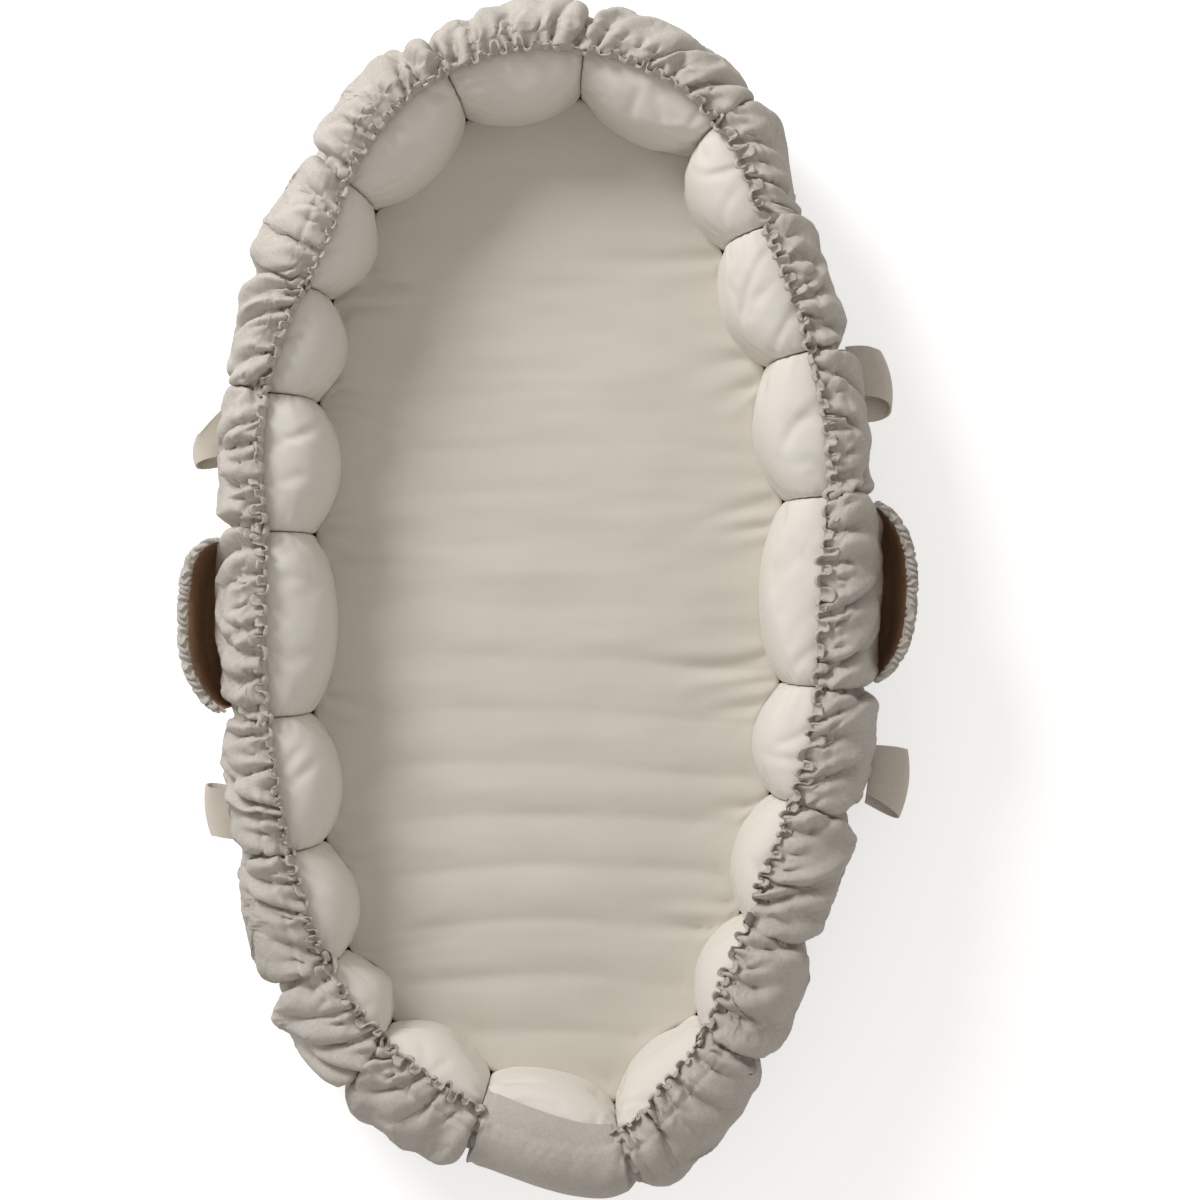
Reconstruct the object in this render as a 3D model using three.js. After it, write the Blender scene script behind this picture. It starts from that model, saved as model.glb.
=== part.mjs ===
// An infant lounger: a ring of stuffed cotton pillows round a lift-out mattress,
// inside a linen cover whose upper edge is gathered on elastic.
// Millimetres. X runs across, Y towards the head end, and Z up from the floor.
import * as THREE from 'three';

// The ring of pillows
const ringHalfWidth = 218;
const ringHalfLength = 420;
const pillowDepth = 88;
const pillowHeight = 126;
const pillowSettle = 6; // how far a pillow sags flat on its seat
const seamDepthShare = 0.56; // a pillow's size at its end seams, of its full size
const seamHeightShare = 0.8;
const puffPower = 2.2; // a higher power makes fuller, squarer pillows
const upperPower = 0.8;
const lowerPower = 0.5;

// Cloth, seats and clearances
const clearance = 0.3; // between pieces that touch
const clothGap = 2.6; // between the pillows and the loose cover over them
const panelThickness = 2.4;
const floorThickness = 1.6;
const floorInset = 3; // from the base panel's edge to the liner floor's

// The outer cover
const coverThickness = 2;
const coverSeamDepthShare = 0.8;
const coverSeamHeightShare = 0.87;
const coverTuckShare = 0.93; // the skirt's lower edge, of its widest
const foldRise = 4;

// The folded hem and the elastic in it
const hemWidth = 21;
const hemHeight = 7;
const hemWall = 1.2;
const hemRuffleOut = 4;
const hemRuffleUp = 3;
const elasticWidth = 5;
const elasticThickness = 1;
const elasticInset = 0.8; // from the hem's open side

// The side pockets
const pocketReach = 27; // how far a pocket's mouth stands off the cover
const pocketRimHeight = 104;
const pocketFootHeight = 14;
const pocketWall = 1.8;
const pocketCasingRadius = 4.2;
const pocketBoreRadius = 2.5;
const pocketElasticRadius = 1.9;
const pocketRuffle = 0.6;

// The tape loops
const tapeWidth = 38;
const tapeThickness = 1.6;
const loopReach = 32;
const loopGap = 9; // between a loop's two layers at the cover

// The mattress
const mattressHeight = 36;
const mattressEdgeHeight = 22;
const mattressGap = 1.5; // to the pillows, all round
const channelDepth = 3;
const channelCount = 15;
const sleeveWall = 1.5;
const sleeveHem = 3; // the sleeve's seam allowance at its sides
const mattressEndInset = 3; // from the outline's tip to the first row across

// Where one pillow ends and the next begins, clockwise from the head seen from above:
// shares of ringHalfWidth across and ringHalfLength along
const seamShares = [
  [-0.352, 0.983], [0.143, 1.03], [0.634, 0.897], [0.766, 0.693], [0.927, 0.463],
  [0.996, 0.194], [0.985, -0.16], [0.945, -0.381], [0.832, -0.621], [0.656, -0.832],
  [0.286, -1.027], [-0.245, -0.966], [-0.652, -0.855], [-0.846, -0.693], [-0.938, -0.47],
  [-0.985, -0.217], [-0.978, 0.13], [-0.963, 0.387], [-0.908, 0.596], [-0.729, 0.787],
];
// How far out from the ring's line the hem's inner edge lies at each of those seams,
// as a share of a pillow's half depth: it slips inwards at the foot and by the head
const hemEdgeShares = [
  0, -0.23, -0.3, -0.05, -0.02, 0, -0.16, -0.36, -0.6, -0.6,
  -0.5, -0.23, -0.6, -0.52, -0.27, -0.09, 0.05, 0, -0.39, -0.27,
];
// Places along one pillow, as shares of its length round the ring
const stationShares = [0, 0.12, 0.32, 0.5, 0.68, 0.88, 1];
const footPillow = 10; // counted from zero, the one at the foot, where the hem stops
const pocketPillows = { right: 5, left: 15 };
// Each loop's pillow, its middle as a share of that pillow, and how far it stands out
const loops = {
  tape_loop_right_head: { pillow: 4, middleShare: 0.26, reachShare: 1 },
  tape_loop_right_foot: { pillow: 6, middleShare: 0.7, reachShare: 1.2 },
  tape_loop_left_foot: { pillow: 14, middleShare: 0.3, reachShare: 0.9 },
  tape_loop_left_head: { pillow: 16, middleShare: 0.76, reachShare: 0.85 },
};

// Sizes worked out from those above
const pillowHalfDepth = pillowDepth / 2;
const pillowHalfHeight = (pillowHeight + pillowSettle) / 2;
const floorHeight = panelThickness + clearance;
const seatHeight = floorHeight + floorThickness + clearance;
const midHeight = seatHeight + pillowHeight - pillowHalfHeight;
const pillowCount = seamShares.length;
const ring = new THREE.CatmullRomCurve3(
  seamShares.map(([across, along]) => new THREE.Vector3(
    across * ringHalfWidth, along * ringHalfLength, 0)),
  true, 'centripetal');

// Shapes along the ring

const signedPower = (value, power) => Math.sign(value) * Math.abs(value) ** power;
const blend = (from, to, share) => from + (to - from) * share;

// How full a pillow is at a share of its length: nothing at its seams, one in the middle
function fullness(share) {
  return Math.sqrt(Math.max(0, 1 - Math.abs(2 * share - 1) ** puffPower));
}

// A place by the ring: turn counts pillows from the first seam, out is away from the nest
function ringPlace(turn, out, up, along = 0) {
  const share = (((turn / pillowCount) % 1) + 1) % 1;
  const place = ring.getPoint(share);
  const ahead = ring.getTangent(share);
  return new THREE.Vector3(
    place.x - ahead.y * out + ahead.x * along,
    place.y + ahead.x * out + ahead.y * along,
    up);
}

const pillowDepthAt = (share) => pillowHalfDepth * blend(seamDepthShare, 1, fullness(share));
const pillowHeightAt = (share) => pillowHalfHeight * blend(seamHeightShare, 1, fullness(share));
const coverDepthAt = (share) => clothGap
  + pillowHalfDepth * blend(coverSeamDepthShare, 1, fullness(share));
const coverHeightAt = (share) => clothGap
  + pillowHalfHeight * blend(coverSeamHeightShare, 1, fullness(share));

// How high the cover's section is at a distance out from the ring's line
function coverUpAt(share, out, outset) {
  const spread = Math.abs(out) / (coverDepthAt(share) + outset);
  const rise = (1 - spread ** (2 / upperPower)) ** (upperPower / 2);
  return midHeight + (coverHeightAt(share) + outset) * rise;
}

// How far out the hem is open, where the skirt ends
function hemOpenAt(turn) {
  const pillow = Math.floor(turn);
  const [here, next] = [pillow, pillow + 1].map((index) => hemEdgeShares[index % pillowCount]);
  return pillowHalfDepth * blend(here, next, turn - pillow) + hemWidth;
}

// A point of a stuffed section: angle zero faces outwards and a quarter turn is the crown
function stuffedPoint(halfDepth, halfHeight, angle) {
  const power = Math.sin(angle) < 0 ? lowerPower : upperPower;
  return new THREE.Vector2(
    halfDepth * signedPower(Math.cos(angle), power),
    midHeight + halfHeight * signedPower(Math.sin(angle), power));
}

// Solids

// Triangles that close a section. An even outline runs up one face and back down the
// other, so it closes like a ladder, and an odd one is a rounded shape that takes a fan.
function capTriangles(count) {
  if (count % 2) return Array.from({ length: count - 2 }, (unused, i) => [0, i + 1, i + 2]);
  return Array.from({ length: count / 2 - 1 }, (unused, i) => [
    [i, i + 1, count - 1 - i], [i + 1, count - 2 - i, count - 1 - i]]).flat();
}

function volumeOf(positions, triangles) {
  let total = 0;
  const corner = (index) => new THREE.Vector3().fromArray(positions, index * 3);
  for (let i = 0; i < triangles.length; i += 3) {
    const [a, b, c] = triangles.slice(i, i + 3).map(corner);
    total += a.dot(b.cross(c));
  }
  return total;
}

// A closed solid through a row of sections. A section has an outline and a function
// that places the outline's points; a closed row joins its last section to its first.
function sweptSolid(sections, closed) {
  const around = sections[0].outline.length;
  const positions = [];
  const triangles = [];
  for (const section of sections) {
    section.outline.forEach((point) => positions.push(...section.place(point).toArray()));
  }
  const spans = closed ? sections.length : sections.length - 1;
  for (let i = 0; i < spans; i += 1) {
    const here = i * around;
    const next = ((i + 1) % sections.length) * around;
    for (let j = 0; j < around; j += 1) {
      const k = (j + 1) % around;
      triangles.push(here + j, here + k, next + j, here + k, next + k, next + j);
    }
  }
  if (!closed) {
    const last = (sections.length - 1) * around;
    capTriangles(around).forEach(([a, b, c]) => triangles.push(
      a, c, b, last + a, last + b, last + c));
  }
  if (volumeOf(positions, triangles) < 0) triangles.reverse();
  const geometry = new THREE.BufferGeometry();
  geometry.setAttribute('position', new THREE.Float32BufferAttribute(positions, 3));
  geometry.setIndex(triangles);
  geometry.computeVertexNormals();
  return geometry;
}

// A section that stands across the ring
function ringSection(turn, outline, along = 0) {
  return { outline, place: (point) => ringPlace(turn, point.x, point.y, along) };
}

// Every station from one seam to another, each seam once: its turn, and its share of a pillow
function stationsBetween(firstPillow, lastPillow) {
  const stations = [];
  for (let pillow = firstPillow; pillow < lastPillow; pillow += 1) {
    stationShares.slice(0, -1).forEach((share, index) => stations.push(
      { turn: pillow + share, share, swollen: index % 2 === 1 }));
  }
  return stations;
}

// A thin sheet's outline, from the points of its inner face and of its outer face
const sheetOutline = (inner, outer) => [...inner, ...outer.slice().reverse()];

const lounger = new THREE.Group();
const nest = new THREE.Group();
const mattress = new THREE.Group();
lounger.add(nest, mattress);

const cotton = { color: 0xe6e1d6, roughness: 0.9 };
const padCotton = { color: 0xd9d3c4, roughness: 0.92 };
const filling = { color: 0xf1efe9, roughness: 1 };
const linen = { color: 0xc4bbb0, roughness: 0.95 };
const pocketLinen = { color: 0xb8aea2, roughness: 0.95 };
const webbing = { color: 0xc2b8aa, roughness: 0.9 };
const rubberBand = { color: 0xe9e7e2, roughness: 0.8 };

function addPiece(parent, name, geometry, finish) {
  const piece = new THREE.Mesh(
    geometry, new THREE.MeshStandardMaterial({ ...finish, metalness: 0 }));
  piece.name = name;
  parent.add(piece);
}

// The two flat panels under everything

function panelGeometry(inset, thickness, height) {
  const outline = stationsBetween(0, pillowCount).map(({ turn, share }) => {
    const place = ringPlace(turn, coverDepthAt(share) * coverTuckShare - clearance - inset, 0);
    return new THREE.Vector2(place.x, place.y);
  });
  const geometry = new THREE.ExtrudeGeometry(
    new THREE.Shape(outline), { depth: thickness, bevelEnabled: false });
  return geometry.translate(0, 0, height);
}
addPiece(nest, 'base_panel', panelGeometry(0, panelThickness, 0), linen);
addPiece(nest, 'liner_floor', panelGeometry(floorInset, floorThickness, floorHeight), cotton);

// The pillows, each crowned, drawn in at its seams and flat where it rests

const sectionStepCount = 12;
const pillowAngles = Array.from({ length: sectionStepCount },
  (unused, index) => (index * 2 * Math.PI) / sectionStepCount);

function pillowGeometry(pillow) {
  const sections = stationShares.map((share) => {
    const outline = pillowAngles.map((angle) => {
      const point = stuffedPoint(pillowDepthAt(share), pillowHeightAt(share), angle);
      return point.setY(Math.max(point.y, seatHeight));
    });
    let along = 0;
    if (share === 0) along = clearance / 2;
    if (share === 1) along = -clearance / 2;
    return ringSection(pillow + share, outline, along);
  });
  return sweptSolid(sections, false);
}
for (let pillow = 0; pillow < pillowCount; pillow += 1) {
  const number = String(pillow + 1).padStart(2, '0');
  addPiece(nest, `bumper_pillow_${number}`, pillowGeometry(pillow), cotton);
}

// The cover's skirt, from the base panel up over the outside to the hem.
// It dips at each seam and rises in soft folds towards the hem.

const skirtOutShares = [0.82, 0.45, 0]; // from the hem's open side to the widest line
const skirtFoldShares = [0.15, 0.5, 0.9, 1]; // of foldRise, from the widest line to the hem

// The skirt's straight lower wall, from the base panel to its widest line
function lowerWall({ share, swollen }, outset) {
  const depth = coverDepthAt(share) + outset;
  const rise = swollen ? foldRise * skirtFoldShares[0] : 0;
  return [new THREE.Vector2(depth * coverTuckShare, clearance),
    new THREE.Vector2(depth + rise, midHeight)];
}

function skirtFace(station, outset) {
  const end = hemOpenAt(station.turn) + 2 * clearance;
  const upper = skirtOutShares.map((outShare, index) => {
    const rise = station.swollen ? foldRise * skirtFoldShares[index + 1] : 0;
    const out = blend(end, coverDepthAt(station.share) + outset, outShare);
    return new THREE.Vector2(out, coverUpAt(station.share, out, outset + rise));
  });
  return [...lowerWall(station, outset), ...upper];
}

// How far out a piece on the skirt's lower wall starts, at a share of a pillow and a height
function skirtOutside(pieceShare, height) {
  const next = Math.max(1, stationShares.findIndex((share) => share > pieceShare));
  const reaches = [next - 1, next].map((index) => {
    const [low, high] = lowerWall(
      { share: stationShares[index], swollen: index % 2 === 1 }, coverThickness);
    return blend(low.x, high.x, (height - low.y) / (high.y - low.y));
  });
  const [from, to] = [stationShares[next - 1], stationShares[next]];
  return blend(...reaches, (pieceShare - from) / (to - from)) + clearance;
}
addPiece(nest, 'outer_cover', sweptSolid(
  stationsBetween(0, pillowCount).map((station) => ringSection(
    station.turn, sheetOutline(skirtFace(station, 0), skirtFace(station, coverThickness)))),
  true), linen);

// The gathered hem: a folded band along the crown, open towards the skirt, which stops
// short at the foot pillow. The elastic lies in its fold.

const hemStations = stationsBetween(footPillow + 1, footPillow + pillowCount);
hemStations.push({ turn: footPillow + pillowCount, share: 0, swollen: false });

// A point of the hem's section: how far in from its open side, and how far above the cover
function hemPoint({ turn, share }, depth, rise) {
  const open = hemOpenAt(turn);
  const [openUp, edgeUp] = [open, open - hemWidth].map((out) => coverUpAt(share, out, 0));
  const under = blend(openUp, edgeUp, depth / hemWidth) + clearance;
  return new THREE.Vector2(open - depth, under + rise);
}

function hemOutline(station) {
  const high = hemHeight + (station.swollen ? hemRuffleUp : 0);
  const width = hemWidth + (station.swollen ? hemRuffleOut : 0);
  const vee = (depth, inset) => [
    hemPoint(station, 0, inset),
    hemPoint(station, depth, hemHeight / 2),
    hemPoint(station, 0, high - inset),
  ];
  const foldDepth = (2 * hemWall * width) / hemHeight; // keeps both walls alike to the fold
  return sheetOutline(vee(width - foldDepth, hemWall), vee(width, 0));
}
addPiece(nest, 'hem_casing', sweptSolid(
  hemStations.map((station) => ringSection(station.turn, hemOutline(station))),
  false), linen);

function hemElasticOutline(station) {
  return [[0, -1], [0, 1], [1, 1], [1, -1]].map(([across, side]) => hemPoint(
    station, elasticInset + across * elasticWidth, (hemHeight + side * elasticThickness) / 2));
}
addPiece(nest, 'hem_elastic', sweptSolid(
  hemStations.map((station) => ringSection(station.turn, hemElasticOutline(station))),
  false), rubberBand);

// The smooth facing that lies over the foot pillow where the gathered hem stops

const facingInnerShare = 0.575; // where it ends, inwards, of the cover's half depth

function facingFace(turn, share, outset) {
  const inner = -(coverDepthAt(share) + outset) * facingInnerShare;
  const open = hemOpenAt(turn);
  return [open, (open + inner) / 2, inner].map((out) => new THREE.Vector2(
    out, coverUpAt(share, out, outset)));
}
addPiece(nest, 'foot_facing', sweptSolid(
  stationShares.map((share) => {
    let along = 0;
    if (share === 0) along = clearance;
    if (share === 1) along = -clearance;
    const turn = footPillow + share;
    return ringSection(turn, sheetOutline(
      facingFace(turn, share, 0), facingFace(turn, share, coverThickness)), along);
  }), false), linen);

// The side pockets: a wall that bellies out from the skirt, a rolled casing along its
// mouth, and the elastic in the casing

const pocketEndShare = 0.03; // of its pillow's length, that a pocket leaves free at each end
const pocketStepCount = 12;
const pocketStationShares = Array.from({ length: pocketStepCount + 1 },
  (unused, index) => blend(pocketEndShare, 1 - pocketEndShare, index / pocketStepCount));
const pocketSquarePower = 2.4; // higher powers make a squarer mouth
const pocketRoundPower = 0.6;
const casingSideCount = 7;
const elasticSideCount = 5;
const pocketLevels = [ // heights, from the foot to the rim
  pocketFootHeight, blend(pocketFootHeight, midHeight, 0.5), midHeight,
  blend(midHeight, pocketRimHeight, 0.5), pocketRimHeight,
];
const pocketBellyShares = [0, 0.6, 0.85, 0.97, 1]; // and how far out the wall stands there

function pocketStandOff(share) {
  const across = (2 * share - 1) / (1 - 2 * pocketEndShare);
  const fuller = Math.max(0, 1 - Math.abs(across) ** pocketSquarePower);
  return pocketReach * fuller ** pocketRoundPower;
}

function pocketFace(share, outset) {
  return pocketLevels.map((height, index) => new THREE.Vector2(
    skirtOutside(share, Math.min(height, midHeight)) + outset
      + pocketStandOff(share) * pocketBellyShares[index],
    height));
}

function pocketWallGeometry(pillow) {
  return sweptSolid(pocketStationShares.map((share) => ringSection(
    pillow + share, sheetOutline(pocketFace(share, 0), pocketFace(share, pocketWall)))), false);
}

// A ring of points round the middle of the pocket's mouth
function mouthOutline(share, radius, sides) {
  const out = skirtOutside(share, midHeight) + pocketStandOff(share) + pocketWall / 2;
  const up = pocketRimHeight + clearance + pocketCasingRadius + pocketRuffle;
  return Array.from({ length: sides }, (unused, index) => {
    const angle = (index * 2 * Math.PI) / sides;
    return new THREE.Vector2(out + radius * Math.cos(angle), up + radius * Math.sin(angle));
  });
}

function pocketCasingGeometry(pillow) {
  const inner = pocketStationShares.map((share) => ringSection(
    pillow + share, mouthOutline(share, pocketBoreRadius, casingSideCount)));
  const outer = pocketStationShares.map((share, index) => ringSection(
    pillow + share, mouthOutline(
      share, pocketCasingRadius + (index % 2 ? pocketRuffle : -pocketRuffle), casingSideCount)));
  return sweptSolid([...outer, ...inner.reverse()], true);
}

function pocketElasticGeometry(pillow) {
  return sweptSolid(pocketStationShares.map((share) => ringSection(
    pillow + share, mouthOutline(share, pocketElasticRadius, elasticSideCount))), false);
}
for (const [side, pillow] of Object.entries(pocketPillows)) {
  addPiece(nest, `side_pocket_${side}`, pocketWallGeometry(pillow), pocketLinen);
  addPiece(nest, `pocket_casing_${side}`, pocketCasingGeometry(pillow), linen);
  addPiece(nest, `pocket_elastic_${side}`, pocketElasticGeometry(pillow), rubberBand);
}

// The tape loops: flat tape folded back on itself, its two ends at the skirt

const loopLengthShares = [0, 0.45, 0.85, 1]; // out along the loop
const loopSpreadShares = [1, 1.25, 0.8, 0.25]; // and how far its layers are apart there

function loopOutline(share, reach) {
  const root = skirtOutside(share, midHeight);
  const layer = (side, inset) => loopLengthShares.map((length, index) => new THREE.Vector2(
    root + (reach - inset) * length,
    midHeight + side * (loopGap / 2 + tapeThickness - inset) * loopSpreadShares[index]));
  const face = (inset) => [...layer(1, inset), ...layer(-1, inset).reverse()];
  return sheetOutline(face(tapeThickness), face(0));
}

function loopGeometry({ pillow, middleShare, reachShare }) {
  const seamToSeam = ringPlace(pillow, 0, 0).distanceTo(ringPlace(pillow + 1, 0, 0));
  const [start, end] = [-1, 1].map((side) => middleShare + (side * tapeWidth) / 2 / seamToSeam);
  const onTheWay = stationShares.filter((share) => share > start && share < end);
  return sweptSolid([start, ...onTheWay, end].map((share) => ringSection(
    pillow + share, loopOutline(share, loopReach * reachShare))), false);
}
for (const [name, loop] of Object.entries(loops)) {
  addPiece(nest, name, loopGeometry(loop), webbing);
}

// The mattress: a filled core in a cotton sleeve with soft channels across it.
// The sleeve is open at the foot end, where the core goes in.

const mattressEdge = stationsBetween(0, pillowCount).map(
  ({ turn }) => ringPlace(turn, -(pillowHalfDepth + mattressGap), 0));

const headTip = mattressEdge.reduce((best, place) => (place.y > best.y ? place : best));
const footTip = mattressEdge.reduce((best, place) => (place.y < best.y ? place : best));

// The mattress's left and right edges at one place along it
function mattressSpan(along) {
  const middle = blend(
    footTip.x, headTip.x, (along - footTip.y) / (headTip.y - footTip.y));
  const crossings = mattressEdge.flatMap((here, index) => {
    const next = mattressEdge[(index + 1) % mattressEdge.length];
    if ((here.y > along) === (next.y > along)) return [];
    return [blend(here.x, next.x, (along - here.y) / (next.y - here.y))];
  });
  return [
    Math.max(...crossings.filter((across) => across < middle)),
    Math.min(...crossings.filter((across) => across > middle)),
  ];
}

const mattressHead = headTip.y - mattressEndInset;
const mattressFoot = footTip.y + mattressEndInset;
const crownShares = [-1, -0.95, -0.6, -0.2, 0.2, 0.6, 0.95, 1]; // across, of half its width
const undersideShares = [0.95, -0.95];
const endRoundShare = 0.05; // of its length, over which its ends round down

function mattressSection(lengthShare, side, inset, dip, shift = 0) {
  const along = blend(mattressHead, mattressFoot, lengthShare);
  const [left, right] = mattressSpan(along);
  const middle = (left + right) / 2;
  const halfWidth = (right - left) / 2 - side;
  const fromEnd = Math.min(1, Math.min(lengthShare, 1 - lengthShare) / endRoundShare);
  const endRise = blend(mattressEdgeHeight / mattressHeight, 1, Math.sqrt(fromEnd));
  const top = crownShares.map((share) => {
    const edge = Math.abs(share) === 1;
    const crown = blend(mattressEdgeHeight, mattressHeight * endRise, 1 - share * share);
    const height = edge ? mattressEdgeHeight / 2 : crown - dip - inset;
    return new THREE.Vector2(middle + halfWidth * share, seatHeight + height);
  });
  const low = undersideShares.map((share) => new THREE.Vector2(
    middle + halfWidth * share, seatHeight + inset));
  return {
    outline: [...top, ...low],
    place: (point) => new THREE.Vector3(point.x, along + shift, point.y),
  };
}

const rowsPerChannel = 3;
const sleeveRows = channelCount * rowsPerChannel;
const coreRowCount = 12;
const headInsetShare = 0.01; // of the length, that the sleeve's inside stops short at the head

const sleeveOutside = Array.from({ length: sleeveRows + 1 }, (unused, row) => mattressSection(
  row / sleeveRows, 0, 0, row % rowsPerChannel ? 0 : channelDepth));
// Places along the hollow of the sleeve, from the foot to the head
const coreShares = Array.from({ length: coreRowCount + 1 },
  (unused, row) => blend(1, headInsetShare, row / coreRowCount));
const sleeveInside = coreShares.map(
  (share) => mattressSection(share, sleeveHem, sleeveWall, channelDepth));
addPiece(mattress, 'mattress_sleeve',
  sweptSolid([...sleeveOutside, ...sleeveInside], false), padCotton);
addPiece(mattress, 'mattress_core', sweptSolid(coreShares.map((share, row) => {
  let shift = 0;
  if (row === 0) shift = 2 * clearance;
  if (row === coreRowCount) shift = -2 * clearance;
  return mattressSection(
    share, sleeveHem + 2 * clearance, sleeveWall + clearance, channelDepth, shift);
}), false), filling);

export default lounger;
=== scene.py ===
# An infant lounger seen from above: a ring of stuffed cotton pillows round a mattress,
# in a linen cover gathered on elastic, with side pockets and tape loops.
# Sizes are in millimetres and become metres where a mesh is made.
import math

import bmesh
import bpy
import numpy as np
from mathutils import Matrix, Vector
from mathutils.bvhtree import BVHTree


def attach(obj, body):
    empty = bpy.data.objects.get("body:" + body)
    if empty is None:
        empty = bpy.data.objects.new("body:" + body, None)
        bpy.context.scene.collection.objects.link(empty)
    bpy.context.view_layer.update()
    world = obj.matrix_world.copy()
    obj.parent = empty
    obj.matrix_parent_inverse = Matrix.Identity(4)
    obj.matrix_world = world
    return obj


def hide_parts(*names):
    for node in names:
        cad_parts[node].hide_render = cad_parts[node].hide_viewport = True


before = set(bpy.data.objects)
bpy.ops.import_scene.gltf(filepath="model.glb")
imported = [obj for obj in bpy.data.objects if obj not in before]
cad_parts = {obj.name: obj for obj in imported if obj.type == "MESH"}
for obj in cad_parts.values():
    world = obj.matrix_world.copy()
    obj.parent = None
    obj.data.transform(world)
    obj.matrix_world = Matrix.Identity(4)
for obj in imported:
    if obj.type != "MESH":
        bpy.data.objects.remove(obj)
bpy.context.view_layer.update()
mm = 0.001

# The ring of pillows, as in the solids

ring = {
    "halfWidth": 218,
    "halfLength": 420,
    # where one pillow ends and the next begins, clockwise from the head seen from above
    "seams": [
        (-0.352, 0.983), (0.143, 1.03), (0.634, 0.897), (0.766, 0.693), (0.927, 0.463),
        (0.996, 0.194), (0.985, -0.16), (0.945, -0.381), (0.832, -0.621), (0.656, -0.832),
        (0.286, -1.027), (-0.245, -0.966), (-0.652, -0.855), (-0.846, -0.693), (-0.938, -0.47),
        (-0.985, -0.217), (-0.978, 0.13), (-0.963, 0.387), (-0.908, 0.596), (-0.729, 0.787),
    ],
}
seamPlaces = np.array(ring["seams"]) * (ring["halfWidth"], ring["halfLength"])
pillowCount = len(seamPlaces)
footPillow = 10


def curveParts():
    before, here, after, later = (np.roll(seamPlaces, shift, 0) for shift in (1, 0, -1, -2))
    def gap(a, b):
        return np.linalg.norm(b - a, axis=1)[:, None] ** 0.5
    first, middle, last = gap(before, here), gap(here, after), gap(after, later)
    leave = ((here - before) / first - (after - before) / (first + middle)
             + (after - here) / middle) * middle
    reach = ((after - here) / middle - (later - here) / (middle + last)
             + (later - after) / last) * middle
    return (here, leave, -3 * here + 3 * after - 2 * leave - reach,
            2 * here - 2 * after + leave + reach)


ringParts = curveParts()


# A place by the ring: turn counts pillows from the first seam, out is away from the nest
def ringPlace(turn, out, up):
    turn = np.asarray(turn, float) % pillowCount
    index = np.floor(turn).astype(int) % pillowCount
    share = (turn - np.floor(turn))[..., None]
    a, b, c, d = (part[index] for part in ringParts)
    place = a + share * (b + share * (c + share * d))
    ahead = b + share * (2 * c + 3 * share * d)
    ahead /= np.linalg.norm(ahead, axis=-1, keepdims=True)
    out, up = np.broadcast_to(out, turn.shape), np.broadcast_to(up, turn.shape)
    return np.stack([place[..., 0] - ahead[..., 1] * out,
                     place[..., 1] + ahead[..., 0] * out, up], -1)


tableTurns = np.linspace(0, 2 * pillowCount, 2 * pillowCount * 100 + 1)
tableLengths = np.concatenate([[0], np.cumsum(np.linalg.norm(
    np.diff(ringPlace(tableTurns, 0, 0), axis=0), axis=1))])
ringLength = tableLengths[-1] / 2


def lengthAt(turn):
    return np.interp(turn, tableTurns, tableLengths)


def turnAt(length):
    return np.interp(length, tableLengths, tableTurns)


def blend(low, high, share):
    return low + (high - low) * share


def signedPower(value, power):
    return np.sign(value) * np.abs(value) ** power


def smooth(value):
    value = np.clip(value, 0, 1)
    return value * value * (3 - 2 * value)


def fullness(share, power=2.2, root=0.5):
    return np.maximum(0, 1 - np.abs(2 * share - 1) ** power) ** root


# Soft unevenness from -1 to 1, with bumps about as wide as size
def uneven(x, y, size, seed):
    heights = np.random.default_rng(seed).uniform(-1, 1, (61, 67))
    x, y = np.asarray(x, float) / size, np.asarray(y, float) / size
    i, j = np.floor(x).astype(int), np.floor(y).astype(int)
    u, v = smooth(x - i), smooth(y - j)
    def at(a, b):
        return heights[a % 61, b % 67]
    return blend(blend(at(i, j), at(i + 1, j), u), blend(at(i, j + 1), at(i + 1, j + 1), u), v)


# Creases: narrow dents that start at a line and run away from it

def scatterCreases(seed, span, spacing, start, reach, depth, width, slant,
                   lip=0.4, over=0.0, unevenSpacing=0.45):
    draw = np.random.default_rng(seed)
    steps = spacing * draw.uniform(1 - unevenSpacing, 1 + unevenSpacing, int(2 * span / spacing))
    places = np.cumsum(steps)
    places = places[places < span - 0.3 * spacing]
    creases = []
    for place in places:
        lean = slant * (0.9 * math.sin(place / 170 + 1) + draw.normal(0, 0.6))
        creases.append({
            "place": place, "start": start, "end": start + draw.uniform(*reach),
            "depth": draw.uniform(*depth), "width": width[0] * draw.uniform(0.8, 1.25),
            "spread": width[1] * draw.uniform(0.8, 1.25), "slant": lean,
            "bend": draw.normal(0, 0.5 * slant), "lip": lip,
        })
        draw.random()  # passed over, as every later draw follows on from it
        creases[-1]["over"] = over * draw.choice([-1, 1]) * draw.uniform(0.5, 1)
    return creases


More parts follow.
